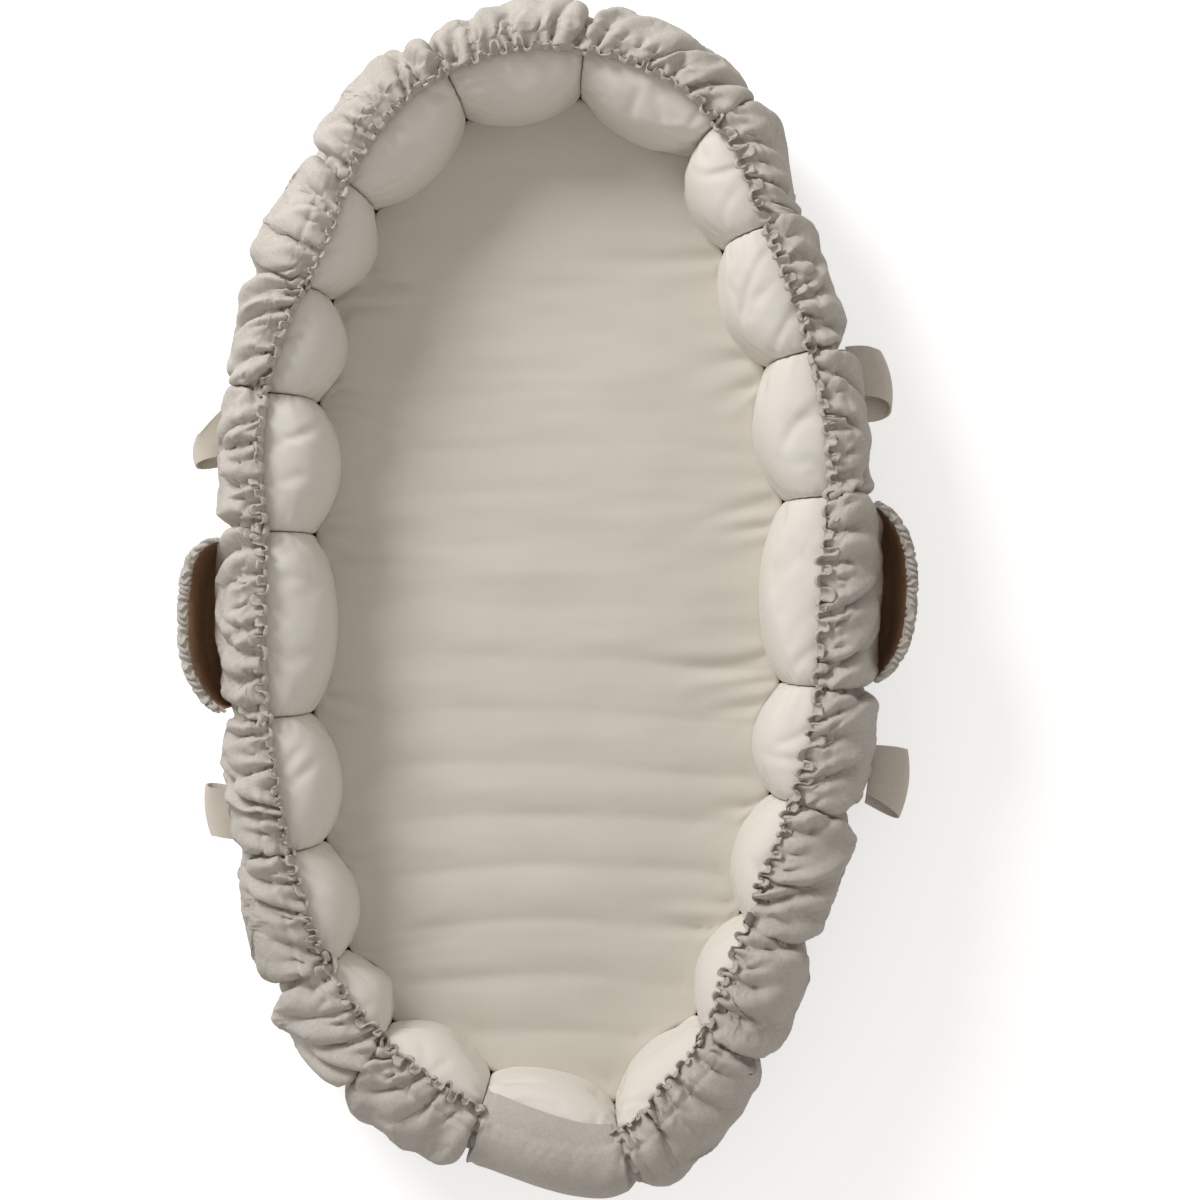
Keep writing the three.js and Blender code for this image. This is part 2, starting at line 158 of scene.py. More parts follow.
# What creases do to a sheet: they lift it and shift it sideways
def press(along, away, creases, span):
    lift, shift = np.zeros((2,) + away.shape)
    for crease in creases:
        side = (along - crease["place"] + span / 2) % span - span / 2
        near = np.flatnonzero(np.abs(side) < 60)
        if not len(near):
            continue
        run = crease["end"] - crease["start"]
        y = (away[:, near] - crease["start"]) * np.sign(run)
        share = y / abs(run)
        fade = np.clip(1 - share, 0, 1) ** 1.2 * np.clip(1 + y / 3, 0, 1)
        middle = crease["slant"] * y + crease["bend"] * y * share
        gap = side[near] - middle
        width = blend(crease["width"], crease["spread"], np.clip(share, 0, 1))
        dent = np.exp(-np.abs(gap / width) ** 1.6)
        lips = np.exp(-((np.abs(gap) - 2.3 * width) / (1.3 * width)) ** 2)
        lift[:, near] += fade * crease["depth"] * (crease["lip"] * lips - dent)
        toward = np.exp(-((gap * np.sign(crease["over"] or 1) - 1.4 * width) / (1.6 * width)) ** 2)
        shift[:, near] -= fade * crease["over"] * toward
    return lift, shift


# Making meshes and objects

def newObject(name, data, material=None):
    thing = bpy.data.objects.new(name, data)
    bpy.context.scene.collection.objects.link(thing)
    if material:
        data.materials.clear()
        data.materials.append(material)
    return thing


def newPiece(name, mesh, cloth):
    piece = newObject(name, mesh, materials[cloth])
    mesh.polygons.foreach_set("use_smooth", np.ones(len(mesh.polygons), bool))
    return piece


def intoMesh(shape, mesh):
    shape.to_mesh(mesh)
    shape.free()
    return mesh


def setUv(mesh, uv, turnOver=None):
    layer = mesh.uv_layers.new(name="cloth")
    corners = np.empty(len(mesh.loops), int)
    mesh.loops.foreach_get("vertex_index", corners)
    values = (uv[corners] * mm).astype(np.float32)
    if turnOver:  # round a closed section the far side of a face starts again at zero
        faces = values[:, 1].reshape(-1, 4)
        high, low = faces.max(1, keepdims=True), faces.min(1, keepdims=True)
        again = (high - low > turnOver * mm / 2) & (faces < (high + low) / 2)
        values[again.ravel(), 1] += turnOver * mm
    layer.data.foreach_set("uv", values.reshape(-1))


# A sheet from a grid whose vertices are set to rows of places
def gridPiece(name, places, uv, cloth, thickness=0, weld=False, ends=True):
    rows, columns = places.shape[:2]
    shape = bmesh.new()
    bmesh.ops.create_grid(shape, x_segments=columns - 1, y_segments=rows - 1, size=1)
    for edge in shape.edges:  # a border's thickness isn't shaded round
        edge.smooth = not edge.is_boundary
    mesh = intoMesh(shape, bpy.data.meshes.new(name))
    mesh.vertices.foreach_set("co", (places * mm).reshape(-1))
    setUv(mesh, uv.reshape(-1, 2))
    if weld:
        shape = bmesh.new()
        shape.from_mesh(mesh)
        bmesh.ops.remove_doubles(shape, verts=shape.verts, dist=1e-6)
        if ends:
            bmesh.ops.holes_fill(shape, edges=[e for e in shape.edges if e.is_boundary],
                                 sides=0)
        bmesh.ops.recalc_face_normals(shape, faces=shape.faces)
        intoMesh(shape, mesh)
    piece = newPiece(name, mesh, cloth)
    if thickness:
        solid = piece.modifiers.new("thickness", "SOLIDIFY")
        solid.thickness = thickness * mm
        solid.offset = -1
    return piece


def getPlaces(mesh):
    places = np.empty(len(mesh.vertices) * 3, np.float32)
    mesh.vertices.foreach_get("co", places)
    return places.reshape(-1, 3).astype(float)


def setPlaces(mesh, places):
    mesh.vertices.foreach_set("co", (places * mm).astype(np.float32).reshape(-1))
    mesh.update()


def shapedPiece(name, mesh, cloth, places, uv, turnOver=None):
    setPlaces(mesh, places)
    setUv(mesh, uv, turnOver)
    return newPiece(name, mesh, cloth)


# A cube cut into a fine block, and the same block's vertices as places from -1 to 1
def blockMesh(name, cuts):
    shape = bmesh.new()
    bmesh.ops.create_cube(shape, size=2)
    for axis in range(3):
        edges = [edge for edge in shape.edges
                 if abs(edge.verts[0].co[axis] - edge.verts[1].co[axis]) > 1e-5]
        bmesh.ops.subdivide_edges(shape, edges=edges, cuts=cuts[axis], use_grid_fill=True)
    mesh = intoMesh(shape, bpy.data.meshes.new(name))
    return mesh, getPlaces(mesh)


# The angle and radius of a place in a square, as if the square were a disc
def squareToDisc(x, y):
    wide = np.abs(x) >= np.abs(y)
    longer, shorter = np.where(wide, x, y), np.where(wide, y, x)
    slope = np.pi / 4 * shorter / np.where(longer == 0, 1, longer)
    angle = np.where(wide, slope, np.pi / 2 - slope) + np.pi * (longer < 0)
    return angle, np.abs(longer)


# Lets a piece's cloth settle: pinned vertices stay, and slack makes the rest crumple
def settle(piece, pinned, cloth):
    group = piece.vertex_groups.new(name="held")
    group.add([int(index) for index in pinned], 1.0, "ADD")
    modifier = piece.modifiers.new("settle", "CLOTH")
    settings = modifier.settings
    settings.quality = cloth["quality"]
    settings.mass = 0.15
    settings.air_damping = 2
    settings.tension_stiffness = settings.compression_stiffness = cloth["stretch"]
    settings.shear_stiffness = cloth["stretch"] / 3
    settings.bending_stiffness = cloth["bending"]
    settings.tension_damping = settings.compression_damping = settings.shear_damping = 2
    settings.bending_damping = 0.5
    settings.vertex_group_mass = "held"
    settings.pin_stiffness = 1
    settings.shrink_min = -cloth["slack"]
    settings.use_pressure = cloth["pressure"] > 0
    settings.uniform_pressure_force = cloth["pressure"]
    settings.effector_weights.gravity = 0
    modifier.collision_settings.use_collision = False
    modifier.point_cache.frame_start = 1
    modifier.point_cache.frame_end = cloth["frames"]
    for step in range(1, cloth["frames"] + 1):
        bpy.context.scene.frame_set(step)
    settled = piece.evaluated_get(bpy.context.evaluated_depsgraph_get())
    places = getPlaces(settled.data) / mm
    piece.modifiers.remove(modifier)
    piece.vertex_groups.clear()
    bpy.context.scene.frame_set(1)
    return places


def finishPiece(piece, node, body="nest"):
    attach(piece, body)
    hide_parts(node)


# Materials

def setInputs(tree, node, values):
    for key, value in dict(values).items():
        if isinstance(value, bpy.types.NodeSocket):
            tree.links.new(value, node.inputs[key])
        else:
            node.inputs[key].default_value = value


def addNode(tree, kind, values=(), **settings):
    node = tree.nodes.new(kind)
    for key, value in settings.items():
        setattr(node, key, value)
    setInputs(tree, node, values)
    return node


def calc(tree, operation, *values):
    return addNode(tree, "ShaderNodeMath", enumerate(values), operation=operation).outputs[0]


sockets = {"float": "NodeSocketFloat", "color": "NodeSocketColor", "vector": "NodeSocketVector"}


def newGroup(name, inputs, outputs):
    group = bpy.data.node_groups.new(name, "ShaderNodeTree")
    for label, kind, default in inputs:
        socket = group.interface.new_socket(label, in_out="INPUT", socket_type=sockets[kind])
        if default is not None:
            socket.default_value = default
    for label, kind in outputs:
        group.interface.new_socket(label, in_out="OUTPUT", socket_type=sockets[kind])
    start = group.nodes.new("NodeGroupInput").outputs
    end = group.nodes.new("NodeGroupOutput").inputs
    return group, start, end


# Plain weave: threads over and under each other, some thicker and some darker
def makeWeave():
    group, given, result = newGroup("plain weave", [
        ("Place", "vector", None), ("Thread", "float", 0.0006),
        ("Slub", "float", 0.4), ("Wander", "float", 0.3)],
        [("Height", "float"), ("Shade", "float")])
    wander = addNode(group, "ShaderNodeTexNoise", {"Vector": given["Place"], "Scale": 90.0,
                                                   "Detail": 1.0})
    apart = addNode(group, "ShaderNodeSeparateXYZ", {"Vector": given["Place"]})
    sway = calc(group, "MULTIPLY", calc(group, "SUBTRACT", wander.outputs["Fac"], 0.5),
                given["Wander"])
    bumps = []
    for axis in "XY":
        threads = calc(group, "DIVIDE", apart.outputs[axis], given["Thread"])
        bumps.append(calc(group, "SINE", calc(
            group, "MULTIPLY", calc(group, "ADD", threads, sway), math.pi)))
    woven = calc(group, "MULTIPLY", *bumps)
    slubs = []
    for stretch, seed in (((1, 0.16, 1), 3.1), ((0.16, 1, 1), 8.7)):
        moved = addNode(group, "ShaderNodeMapping", {
            "Vector": given["Place"], "Location": (seed, seed, 0), "Scale": stretch})
        slubs.append(addNode(group, "ShaderNodeTexNoise", {
            "Vector": moved.outputs[0], "Scale": 1300.0, "Detail": 2.0}).outputs["Fac"])
    slub = calc(group, "SUBTRACT", calc(group, "ADD", *slubs), 1.0)
    mixed = calc(group, "MULTIPLY_ADD", slub, given["Slub"],
                 calc(group, "MULTIPLY", woven, 0.5))
    group.links.new(mixed, result["Height"])
    group.links.new(calc(group, "ADD", calc(group, "MULTIPLY", mixed, 0.5), 0.5),
                    result["Shade"])
    return group


# Uneven dye and soft wear: large pale and dark patches
def makePatches():
    group, given, result = newGroup("uneven dye", [
        ("Place", "vector", None), ("Size", "float", 12.0),
        ("Base", "color", (0.5, 0.5, 0.5, 1)),
        ("Other", "color", (0.4, 0.4, 0.4, 1)), ("Shade", "float", 0.5),
        ("Contrast", "float", 0.3)],
        [("Color", "color")])
    patches = addNode(group, "ShaderNodeTexNoise", {
        "Vector": given["Place"], "Scale": given["Size"], "Detail": 4.0, "Roughness": 0.6})
    share = calc(group, "MULTIPLY_ADD", calc(group, "SUBTRACT", given["Shade"], 0.5),
                 given["Contrast"], calc(group, "MULTIPLY_ADD", patches.outputs["Fac"], 1.0, -0.5))
    share = addNode(group, "ShaderNodeClamp", {"Value": calc(group, "ADD", share, 0.5)})
    mixed = addNode(group, "ShaderNodeMix", {0: share.outputs[0], 6: given["Base"],
                                             7: given["Other"]}, data_type="RGBA")
    group.links.new(mixed.outputs[2], result["Color"])
    return group


weaveGroup = makeWeave()
patchGroup = makePatches()


def linearColour(red, green, blue):
    def one(value):
        value /= 255
        return value / 12.92 if value <= 0.04045 else ((value + 0.055) / 1.055) ** 2.4
    return one(red), one(green), one(blue), 1


linenWeave = {"thread": 0.00034, "slub": 1.5, "wander": 0.5, "depth": 0.00009,
              "roughness": 0.95}
cottonWeave = {"thread": 0.00024, "wander": 0.3, "depth": 0.00003, "sheen": 0.03}
cloths = {
    "linen": {**linenWeave, "base": (211, 205, 197), "other": (174, 167, 158), "sheen": 0.05,
              "contrast": 1.0},
    "pocketLinen": {**linenWeave, "base": (210, 200, 188), "other": (178, 167, 154),
                    "sheen": 0.05, "contrast": 0.9},
    # the pocket's inside is the same linen, painted tan so that the shade deep in the pocket
    # renders warm brown: painted shade
    "pocketInsidePaintedShade": {**linenWeave, "base": (232, 194, 160), "other": (208, 168, 134),
                     "sheen": 0.0, "contrast": 0.7},
    "pillowCotton": {**cottonWeave, "base": (231, 227, 220), "other": (223, 218, 209),
                     "slub": 0.5, "roughness": 0.95, "contrast": 0.3},
    "mattressCotton": {**cottonWeave, "base": (219, 214, 204), "other": (209, 203, 191),
                       "slub": 0.6, "roughness": 0.92, "contrast": 0.35},
    "wadding": {"base": (240, 238, 233), "other": (228, 225, 217), "thread": 0.0012,
                "slub": 1.5, "wander": 3.0, "depth": 0.0004, "roughness": 1.0,
                "sheen": 0.1, "contrast": 0.4},
    "tape": {"base": (228, 220, 209), "other": (202, 193, 180), "thread": 0.0009, "slub": 0.5,
             "wander": 0.1, "depth": 0.00025, "roughness": 0.9, "sheen": 0.1, "contrast": 0.8},
    "elastic": {"base": (236, 234, 229), "other": (214, 211, 204), "thread": 0.0008,
                "slub": 0.2, "wander": 0.0, "depth": 0.0003, "roughness": 0.8, "sheen": 0.0,
                "contrast": 1.0},
}


def clothMaterial(name):
    cloth = cloths[name]
    material = bpy.data.materials.new(name)
    material.use_nodes = True
    tree = material.node_tree
    place = addNode(tree, "ShaderNodeUVMap", uv_map="cloth").outputs[0]
    solid = addNode(tree, "ShaderNodeTexCoord").outputs["Object"]
    weave = addNode(tree, "ShaderNodeGroup", node_tree=weaveGroup)
    dye = addNode(tree, "ShaderNodeGroup", node_tree=patchGroup)
    setInputs(tree, weave, {"Place": place, "Thread": cloth["thread"], "Slub": cloth["slub"],
                            "Wander": cloth["wander"]})
    setInputs(tree, dye, {"Place": solid, "Shade": weave.outputs["Shade"],
                          "Base": linearColour(*cloth["base"]),
                          "Other": linearColour(*cloth["other"]), "Contrast": cloth["contrast"]})
    bump = addNode(tree, "ShaderNodeBump", {"Height": weave.outputs["Height"], "Strength": 1.0,
                                            "Distance": cloth["depth"]})
    setInputs(tree, tree.nodes["Principled BSDF"], {
        "Base Color": dye.outputs["Color"], "Normal": bump.outputs[0],
        "Roughness": cloth["roughness"], "Specular IOR Level": 0.12,
        "Sheen Weight": cloth["sheen"], "Sheen Roughness": 0.5})
    return material


materials = {name: clothMaterial(name) for name in cloths}
print("materials made")

# The pillows

pillow = {
    "halfDepth": 44, "halfHeight": 66, "middle": 64.6, "seat": 4.6,
    "seamDepth": 0.5, "seamHeight": 0.8, "upperPower": 0.8, "lowerPower": 0.42,
    "gap": 0.15,  # from each end to its seam's plane
    "coverFolds": 4.5,  # room for the cover's folds on the covered side
    "fuller": 1.5,  # makes up for what the smoothing takes off
    "cuts": (28, 17, 25),
    # their spacing, start, reach, depth, width and slant
    "puckers": (15, 0, (8, 45), (0.8, 3), (1.8, 5), 0.3),
}
stuffing = {"slack": 0.03, "stretch": 12, "bending": 0.3, "pressure": 3.5, "quality": 4,
            "frames": 10, "deepest": 1.6, "furthest": 0.8}


def pillowDepth(share, inner=False):
    full = fullness(share, 2, 0.85) if inner else fullness(share, root=0.6)
    return pillow["halfDepth"] * blend(pillow["seamDepth"], 1, full)


def pillowSection(share, angle, radius):
    depth = np.where(np.cos(angle) < 0, pillowDepth(share, True), pillowDepth(share))
    height = pillow["halfHeight"] * blend(pillow["seamHeight"], 1, fullness(share))
    sine = np.sin(angle)
    power = np.where(sine < 0, pillow["lowerPower"], pillow["upperPower"])
    out = depth * radius * signedPower(np.cos(angle), power)
    up = pillow["middle"] + height * radius * signedPower(sine, power)
    return out, np.maximum(up, pillow["seat"])


# How far round its section each angle of a full pillow is
sectionAngles = np.linspace(-np.pi / 2, 1.5 * np.pi, 721)
sectionOut, sectionUp = pillowSection(0.5, sectionAngles, 1)
sectionLengths = np.concatenate([[0], np.cumsum(np.hypot(
    np.diff(sectionOut), np.diff(sectionUp)))])
girth = sectionLengths[-1]


# Lets the stuffing swell the cloth, and holds it between the seams and inside the cover
def stuffPillow(piece, index, share, out, up, places):
    held = np.flatnonzero((share < 0.002) | (share > 0.998) | (up < pillow["seat"] + 1)
                          | (out > 0.9 * pillow["halfDepth"]))
    settled = settle(piece, held, stuffing)
    seams = ringPlace(index + np.array([0.0, 1.0]), 0, 0)
    outward = ringPlace(index + np.array([0.0, 1.0]), 1, 0) - seams
    for seam, way, side in zip(seams, outward, (1, -1)):
        ahead = np.array([way[1], -way[0], 0]) * side
        ahead *= np.sign(((places.mean(0) - seam) * ahead).sum())
        inside = ((settled - seam) * ahead).sum(-1)
        settled += ahead * np.maximum(0, pillow["gap"] - inside)[:, None]
    middle = ringPlace(index + share, 0, pillow["middle"])
    way = places - middle
    way /= np.maximum(np.linalg.norm(way, axis=-1, keepdims=True), 1)
    move = ((settled - places) * way).sum(-1)
    most = np.where(out > 8, 0, stuffing["furthest"])  # none inside the cover
    settled += way * (np.clip(move, -stuffing["deepest"], most) - move)[:, None]
    settled[:, 2] = np.clip(settled[:, 2], pillow["seat"],
                            pillow["middle"] + pillow["halfHeight"] + 0.5)
    return settled


def makePillow(index):
    name = f"pillow_{index + 1:02d}"
    mesh, block = blockMesh(name, pillow["cuts"])
    a, b, c = block.T
    share = 0.5 + 0.5 * (0.55 * np.sin(a * np.pi / 2) + 0.45 * a)
    angle, radius = squareToDisc(b, c)
    angle = (angle + np.pi / 2) % (2 * np.pi) - np.pi / 2
    round_ = np.interp(angle, sectionAngles, sectionLengths)
    start = lengthAt(index)
    span = lengthAt(index + 1) - start
    along = span * share
    out, up = pillowSection(share, angle, radius)
    # puckers from both seams, and soft folds down the inner side from the hem
    crown = np.interp(np.pi / 2, sectionAngles, sectionLengths)
    hemFolds = scatterCreases(index * 7 + 3, span, 27, crown + 2, (22, 75), (1.0, 3.4),
                              (1.7, 6), 0.6, lip=0.3, unevenSpacing=0.8)
    lift = 0
    for seed, fromEnd in ((1, along), (2, span - along)):
        puckers = scatterCreases(index * 7 + seed, girth, *pillow["puckers"])
        lift = lift + press(round_, fromEnd[None], puckers, girth)[0][0]
    lift += press(along, round_[None], hemFolds, 10 * span)[0][0]
    lift += 0.6 * uneven(along + index * 313, round_, 42, 5) * fullness(share, 2, 1)
    lift = np.where(radius > 0.999, lift, 0)
    low = smooth((up - pillow["seat"]) / 25)
    outside = smooth((out - 5) / 20)  # the cover holds this side in
    lift = np.where(lift > 0, lift * (1 - 0.8 * outside), lift) * low - 0.4
    size = np.maximum(np.hypot(out, (up - pillow["middle"]) * 0.7), 1)
    out = out + lift * out / size
    up = np.maximum(up + lift * 0.7 * (up - pillow["middle"]) / size, pillow["seat"])
    out -= pillow["fuller"] * smooth(-out / 20)
    # the cover's inside is as far out as the pillow may go
    covered = smooth((out - 12) / 22)
    room = np.min([coverSize(index + np.clip(share + step, 0, 0.999))[0]
                   for step in (-0.06, -0.03, 0, 0.03, 0.06)], axis=0)
    room = room - cover["clearance"] - pillow["coverFolds"] * covered
    out = np.where(out > 0, out * np.minimum(1, room / pillowDepth(share)), out)
    up -= 0.6 * pillow["coverFolds"] * covered * smooth((up - pillow["middle"]) / 30)
    # each end stops just short of its seam's plane
    gap = pillow["gap"] / span
    share = np.clip(share, gap, 1 - gap)
    places = ringPlace(index + share, out, up)
    piece = shapedPiece(name, mesh, "pillowCotton", places,
                        np.stack([start + along, round_], -1), girth)
    setPlaces(mesh, stuffPillow(piece, index, share, out, up, places))
    soften = piece.modifiers.new("soften", "SUBSURF")
    soften.levels = soften.render_levels = 1
    finishPiece(piece, f"bumper_pillow_{index + 1:02d}")
    return piece


# The linen cover: one gathered sheet with a stitched channel along its upper edge

cover = {
    "clearance": 2.6,
    "thickness": 1.0,
    "bandWidth": 21,
    "seamHeight": 0.87,
    "tuck": 0.93,  # the lower edge, of the widest
    "lowest": 0.4,  # how near the floor it may come
    "sewnWidth": 12,  # over which its folds die out above the lower edge
    "columnStep": 1.0,
    "bandRows": 18, "skirtRows": 58, "arcRows": 90,
    "parts": {"left_foot": (11, 15), "left_head": (15, 20), "right_head": (20, 25),
              "right_foot": (25, 30)},
    # how far out from the ring's line the cover stands at each seam and in between
    "seamOut": [18, 33, 18, 23, 31, 32, 35, 27, 20, 25, 33, 35, 29, 23, 34, 30, 34, 28, 30, 23],
    "bulgeOut": [44, 42, 37, 43, 39, 48, 49, 44, 39, 43, 38, 48, 44, 45, 40, 47, 47, 40, 44, 47],
    # how far out the gathered edge lies at each seam and in between
    "seamEdge": [-7, -10, -12, -3, -3, -1, -7, -18, -28, -25, -22, -15, -28, -23, -12, -5, -1,
                 0, -18, -12],
    "middleEdge": [-8, -8, -5, 0, 0, -8, -10, -27, -30, -28, -17, -25, -27, -17, -8, -2, 3, -8,
                   -22, -6],
}
startTurn = footPillow + 1


# How far round the cover a turn is, from where its gathers begin
def alongCover(turn):
    return lengthAt(turn) - lengthAt(startTurn)


def edgeAt(turn):
    outs = np.stack([cover["seamEdge"], cover["middleEdge"]], -1).reshape(-1).astype(float)
    near = [np.interp((turn + step) * 2, np.arange(2 * pillowCount), outs, period=2 * pillowCount)
            for step in np.linspace(-0.2, 0.2, 9)]
    return np.mean(near, axis=0)


def coverSize(turn):
    index = np.floor(turn).astype(int)
    share = turn - index
    full = fullness(share, 2.3, 0.62)
    seams, bulges = np.array(cover["seamOut"], float), np.array(cover["bulgeOut"], float)
    seam = blend(seams[index % pillowCount], seams[(index + 1) % pillowCount], share)
    depth = blend(seam, bulges[index % pillowCount], full)
    height = cover["clearance"] + pillow["halfHeight"] * blend(cover["seamHeight"], 1, full)
    return depth, height


# How far out the cover's wall stands on its way down to the floor, of its widest
def wallShare(fall):
    return 1 - (1 - cover["tuck"]) * fall ** 2.2


# The cover's plain surface: away is measured outwards from the stitched line
def coverSurface(turn, away):
    depth, height = coverSize(turn)
    angles = np.linspace(0.86 * np.pi, 0, cover["arcRows"])[:, None]
    out = depth * signedPower(np.cos(angles), pillow["upperPower"])
    up = pillow["middle"] + height * signedPower(np.sin(angles), pillow["upperPower"])
    falls = np.linspace(0, 1, 31)[1:, None]
    wallOut = depth * wallShare(falls)
    wallUp = blend(pillow["middle"], 0.6, falls) + 0 * depth
    out, up = np.vstack([out, wallOut]), np.vstack([up, wallUp])
    steps = np.hypot(np.diff(out, axis=0), np.diff(up, axis=0))
    runs = np.vstack([0 * depth[None], np.cumsum(steps, axis=0)])
    stitches, arc = edgeAt(turn) + cover["bandWidth"], slice(cover["arcRows"])
    places, ends = np.empty((2,) + away.shape), np.empty(len(turn))
    for column, run in enumerate(runs.T):
        zero = np.interp(stitches[column], out[arc, column], run[arc])
        ends[column] = run[-1] - zero
        for place, line in zip(places, (out, up)):
            place[:, column] = np.interp(zero + away[:, column], run, line[:, column])
    return places[0], places[1], ends


# The skirt's rows, from the stitched line to the floor and closer together at the top
def skirtAways(turn):
    _, _, ends = coverSurface(turn, np.zeros((1, len(turn))))
    shares = np.linspace(0, 1, cover["skirtRows"]) ** 1.25
    return shares[:, None] * ends[None, :]


creases = {
    "inner": scatterCreases(12, ringLength, 8.5, -17, (6, 14), (1.6, 3.6), (1.2, 2.0), 0.4,
                            lip=0.4, over=1.4),
    "outer": scatterCreases(13, ringLength, 14, -4, (9, 26), (2, 4.4), (1.6, 3.2), 0.4,
                            lip=0.5, over=1.6),
    "long": scatterCreases(14, ringLength, 23.0, -16, (38, 95), (6, 11), (2.3, 8), 0.4,
                           lip=0.4, over=5, unevenSpacing=0.7),
}


def seamFolds():
    draw = np.random.default_rng(15)
    folds = []
    for index in range(pillowCount):
        folds.append({
            "place": alongCover(index + pillowCount) % ringLength, "start": -8,
            "end": draw.uniform(90, 150), "depth": draw.uniform(9, 13), "width": 3.4,
            "spread": 11, "slant": draw.normal(0, 0.08), "bend": draw.normal(0, 0.1),
            "lip": 0.3, "over": draw.choice([-3, 3])})
    folds[footPillow].update(depth=13, width=4.5, over=4)  # pinched beside the facing
    return folds


creases["seams"] = seamFolds()


# Where the stitching beside the elastic draws the cloth in, from 0 to 1
def stitchPull(along):
    return smooth(uneven(along, 0 * along, 70, 23) * 2.2 + 0.3)


# The deepest folds, which are pressed in once more after the cloth has settled
def deepFolds(turn, away):
    return sum(share * press(alongCover(turn), away, creases[name], ringLength)[0]
               for name, share in gathered["again"].items())


# From 0 to 1 where the smooth facing lies
def facingShare(turn):
    return smooth((turn - (footPillow + pillowCount)) / 0.08) * smooth(
        (footPillow + 1 + pillowCount - turn) / 0.08)


def gathers(turn, away):
    along, foot = alongCover(turn), facingShare(turn)
    lift, shift = np.zeros((2,) + away.shape)
    for name, group in creases.items():
        pressed, shifted = press(along, away, group, ringLength)
        keep = 1 - foot * (0.2 if name == "seams" else 0.93)
        lift += pressed * keep
        shift += shifted * keep
    lift -= 2.4 * stitchPull(along) * np.exp(-(away / 2.4) ** 2) * (1 - foot)
    lift += np.interp(away, *zip(*gathered["rise"])) * (1 - 0.4 * foot)
    x = along[None, :] + 0 * away
    for height, squash, size, seed, start in gathered["waves"]:
        lift += height * uneven(x, squash * away, size, seed) * smooth(away / start)
    ridges = np.abs(uneven(x + 0.4 * away, 0.4 * away, 27, 24))
    lift += 4 * (0.4 - ridges) * smooth(away / 12) * (1 - 0.8 * foot)
    return lift, shift


# Places on the gathered sheet, with its folds standing off the plain surface
def coverPlaces(turn, away, lift, shift, pull):
    def plain(turn, away):
        out, up, _ = coverSurface(turn, away)
        return ringPlace(np.broadcast_to(turn, away.shape), out, up)
    base = plain(turn, away)
    alongWay = plain(turn + 0.005, away) - plain(turn - 0.005, away)
    alongWay /= np.linalg.norm(alongWay, axis=-1, keepdims=True) + 1e-9
    awayWay = plain(turn, away + 0.5) - base
    lengths = np.linalg.norm(awayWay, axis=-1, keepdims=True)
    awayWay = np.where(lengths > 1e-6, awayWay / (lengths + 1e-12), (0, 0, -1))
    normal = np.cross(alongWay, awayWay)
    normal /= np.linalg.norm(normal, axis=-1, keepdims=True) + 1e-9
    return (base + normal * lift[..., None] + alongWay * shift[..., None]
            + awayWay * pull[..., None])


# The plain surface's places and normals
def coverNormals(turn, away):
    none = 0 * away
    plain = coverPlaces(turn, away, none, none, none)
    return plain, coverPlaces(turn, away, none + 1, none, none) - plain


def clothUv(turn, away):
    return np.stack([np.broadcast_to(lengthAt(turn), away.shape), away], -1)


def columnTurns(first, last):
    start, end = lengthAt(first), lengthAt(last)
    return turnAt(np.linspace(start, end, int((end - start) / cover["columnStep"]) + 1))


elastic = {
    "width": 5, "thickness": 1.0,
    "inset": 1.8,  # from the stitch line to its outer edge
    "radius": 1.7,  # in the pockets' mouths
}
gathered = {
    "slack": 0.05, "stretch": 15, "bending": 0.4, "pressure": 0.1, "quality": 4, "frames": 9,
    "share": 0.6,  # how much of the settled shape is kept, the rest is as it was laid
    "deepestBand": -1.5, "deepestSkirt": -4.5, "highestBand": 10, "highestSkirt": 7,
    "overElastic": 2.8, "elasticReach": 3.2,  # the least that it stands off there, and how far
    "seamDeeper": 10, "seamReach": 11,  # between two pillows there is room for a valley
    "again": {"outer": 0.5, "long": 0.7, "seams": 1.1},
    # soft waves: their height, how much they are drawn out, size, seed and where they start
    "waves": [(1.4, 1, 26, 21, 20), (2.0, 0.6, 48, 22, 30)],
    # how far the cloth stands off the pillows, from the ruffle's stitch line to the floor
    "rise": [(-17, 1.6), (-12, 3.4), (-6, 6.2), (0, 6.8), (8, 6), (22, 4.6), (60, 3), (110, 0.6)],
}

# The free edge stands up along the inner stitch line and meanders
ruffle = {
    "height": 7.8, "stitch": -17, "rows": 7, "wave": (8, 19), "swing": (2, 7.4), "curl": 0.12,
    # the rows folded under it: away from the stitch, up, and how much they meander
    "under": [(8, 0.1, 0), (4, 0.25, 0), (-1.2, 0.6, 0.1), (-1.6, 3.2, 0.5), (0, 6.2, 0.9)],
    "lean": 2.4,  # its edge stands this far outwards of the stitch line
}
waveDraw = np.random.default_rng(16)
waveCount = int(ringLength / ruffle["wave"][0]) + 2
waveLengths = blend(*ruffle["wave"], waveDraw.uniform(0, 1, waveCount) ** 1.6)
waveStarts = np.cumsum(waveLengths) - waveLengths[0]
waveSwings = blend(*ruffle["swing"], waveDraw.uniform(0, 1, waveCount))
waveSwings *= 0.55 + 0.45 * uneven(waveStarts, 0 * waveStarts, 60, 26) + 0.2
waveShifts = np.cumsum(waveDraw.normal(0, 0.35, waveCount)) * 0.3


def meander(along):
    phase = 2 * np.pi * np.interp(along, waveStarts, np.arange(waveCount) + waveShifts)
    swing = np.interp(along, waveStarts, waveSwings)
    wave = np.interp(along, waveStarts, waveLengths)
    sway = swing * (np.sin(phase) + 0.3 * np.sin(0.5 * phase + 1))
    return sway, -ruffle["curl"] * wave * np.sin(2 * phase)


